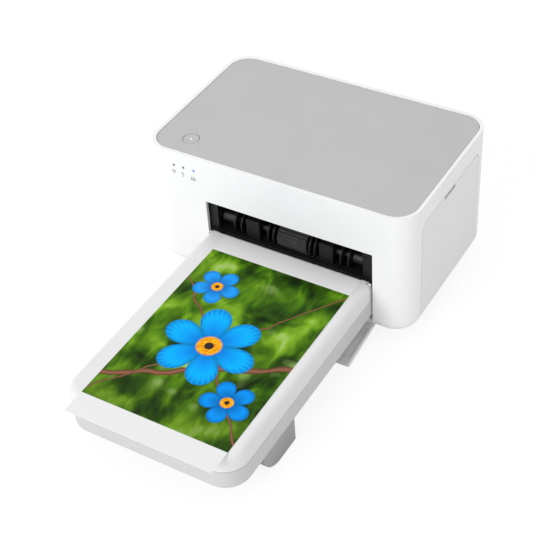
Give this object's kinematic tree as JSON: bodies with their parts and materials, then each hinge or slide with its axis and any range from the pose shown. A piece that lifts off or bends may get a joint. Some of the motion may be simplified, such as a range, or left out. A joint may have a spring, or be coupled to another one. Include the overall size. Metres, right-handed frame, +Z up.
{
  "type": "compact photo printer",
  "caption": "Compact photo printer: rounded casing with hinged side door, front flap, slide-in paper cassette with hinged lid, geared paper rollers, ribbon spools and tilting print head",
  "frame": {"origin": "centre of the bounding box's footprint, on the surface the printer stands on", "axes": "X runs to the right seen from the front, Y to the back, Z up"},
  "size_m": [0.1948, 0.3028, 0.103],
  "materials": {
    "casing_plastic": "fine satin moulded plastic, off-white",
    "panel_plastic": "fine-grained matt plastic, light grey",
    "door_plastic": "satin moulded plastic, pale grey-white",
    "tray_plastic": "satin moulded plastic, pale grey-white",
    "flap_plastic": "satin moulded plastic, light grey",
    "base_plastic": "satin moulded plastic, light grey",
    "foot_plastic": "matt moulded plastic, mid grey",
    "black_plastic": "matt moulded plastic, near black",
    "film_plastic": "glossy dye film, dark violet",
    "gear_plastic": "moulded acetal, natural white",
    "paper_stock": "coated photo paper, white",
    "print_stock": "glossy coated photo paper, white margin",
    "soft_rubber": "dull black rubber",
    "plate_steel": "blackened sheet steel",
    "bright_steel": "bright drawn steel",
    "sink_alloy": "extruded aluminium, plain",
    "pinion_brass": "turned brass",
    "board_green": "glass-fibre board, green resist",
    "lamp_clear": "clear-tinted light guide",
    "lamp_blue": "blue-tinted light guide"
  },
  "bodies": {
    "chassis": {"casing": "casing_plastic", "top_panel": "panel_plastic", "front_liner": "black_plastic", "rear_cover": "door_plastic", "power_inlet": "black_plastic", "rubber_feet": "soft_rubber", "door_pins": "bright_steel", "flap_pins": "bright_steel", "left_plate": "plate_steel", "right_plate": "plate_steel", "cross_bars": "bright_steel", "chassis_screws": "bright_steel", "idler_axle": "bright_steel", "motor_body": "bright_steel", "cartridge_shell": "foot_plastic", "ribbon_film": "film_plastic", "head_pivot": "bright_steel", "guide_bar": "black_plastic", "guide_springs": "bright_steel", "paper_guide": "black_plastic", "main_board": "board_green", "key_board": "board_green", "key_spring": "bright_steel", "indicator_lights": "lamp_clear", "status_light": "lamp_blue", "inner_deck": "black_plastic", "guide_shoes": "black_plastic"},
    "side_door": {"side_door": "door_plastic", "door_latch": "bright_steel"},
    "front_flap": {"front_flap": "flap_plastic"},
    "cassette": {"cassette_base": "base_plastic", "lid_pins": "bright_steel", "lift_springs": "bright_steel", "cassette_foot": "foot_plastic"},
    "cassette_lid": {"cassette_lid": "tray_plastic"},
    "print": {"print_sheet": "print_stock"},
    "lift": {"lift_plate": "bright_steel", "paper_stack": "paper_stock"},
    "pickup": {"pickup_shaft": "plate_steel", "pickup_discs": "black_plastic", "pickup_roller": "soft_rubber", "pickup_gear": "gear_plastic"},
    "idler": {"idler_gear": "gear_plastic"},
    "platen": {"platen_shaft": "bright_steel", "platen_roller": "soft_rubber", "platen_gear": "gear_plastic"},
    "rotor": {"motor_pinion": "pinion_brass"},
    "takeup": {"takeup_gear": "gear_plastic", "takeup_spool": "film_plastic"},
    "supply": {"supply_spool": "film_plastic"},
    "head": {"head_arm": "plate_steel", "heat_sink": "sink_alloy", "thermal_head": "gear_plastic"},
    "power_key": {"power_key": "panel_plastic"}
  },
  "joints": [
    {"name": "door_hinge", "type": "hinge", "parent": "chassis", "child": "side_door", "pos_m": [0.0904, 0.08755, 0.015], "axis": [0, 1, 0], "range_deg": [0, 85]},
    {"name": "flap_hinge", "type": "hinge", "parent": "chassis", "child": "front_flap", "pos_m": [0.0103, 0.03195, 0.0107], "axis": [-1, 0, 0], "range_deg": [0, 16]},
    {"name": "cassette_slide", "type": "slide", "parent": "chassis", "child": "cassette", "axis": [0, -1, 0], "range_m": [0, 0.06]},
    {"name": "lid_hinge", "type": "hinge", "parent": "cassette", "child": "cassette_lid", "pos_m": [0.0103, 0.02755, 0.0445], "axis": [-1, 0, 0], "range_deg": [0, 80]},
    {"name": "print_slide", "type": "slide", "parent": "cassette_lid", "child": "print", "axis": [0, -1, 0], "range_m": [0, 0.04]},
    {"name": "lift_hinge", "type": "hinge", "parent": "cassette", "child": "lift", "pos_m": [0.0103, -0.12375, 0.0371], "axis": [-1, 0, 0], "range_deg": [0, 2], "stiffness_Nm_per_rad": 8, "springref_deg": -6.88, "deforming": ["lift_springs"]},
    {"name": "platen_spin", "type": "hinge", "parent": "chassis", "child": "platen", "pos_m": [0.0103, 0.09155, 0.053], "axis": [1, 0, 0], "continuous": true},
    {"name": "rotor_spin", "type": "hinge", "parent": "chassis", "child": "rotor", "pos_m": [-0.06, 0.11555, 0.035], "axis": [1, 0, 0], "continuous": true},
    {"name": "idler_spin", "type": "hinge", "parent": "chassis", "child": "idler", "pos_m": [-0.06, 0.05755, 0.053], "axis": [1, 0, 0], "continuous": true},
    {"name": "pickup_spin", "type": "hinge", "parent": "chassis", "child": "pickup", "pos_m": [0.0103, 0.03955, 0.053], "axis": [1, 0, 0], "continuous": true},
    {"name": "takeup_spin", "type": "hinge", "parent": "chassis", "child": "takeup", "pos_m": [0.0103, 0.06271, 0.071], "axis": [1, 0, 0], "continuous": true},
    {"name": "supply_spin", "type": "hinge", "parent": "chassis", "child": "supply", "pos_m": [0.0103, 0.11955, 0.071], "axis": [1, 0, 0], "continuous": true},
    {"name": "head_tilt", "type": "hinge", "parent": "chassis", "child": "head", "pos_m": [0.0103, 0.12555, 0.089], "axis": [-1, 0, 0], "range_deg": [0, 8]},
    {"name": "key_press", "type": "slide", "parent": "chassis", "child": "power_key", "axis": [0, 0, -1], "range_m": [0, 0.0008], "stiffness_N_per_m": 400, "springref_m": -0.001, "deforming": ["key_spring"]}
  ],
  "couplings": [
    {"joint": "rotor_spin", "follows": "platen_spin", "ratio": -4},
    {"joint": "idler_spin", "follows": "platen_spin", "ratio": -2.4},
    {"joint": "pickup_spin", "follows": "platen_spin", "ratio": 3},
    {"joint": "takeup_spin", "follows": "platen_spin", "ratio": -2.4}
  ]
}
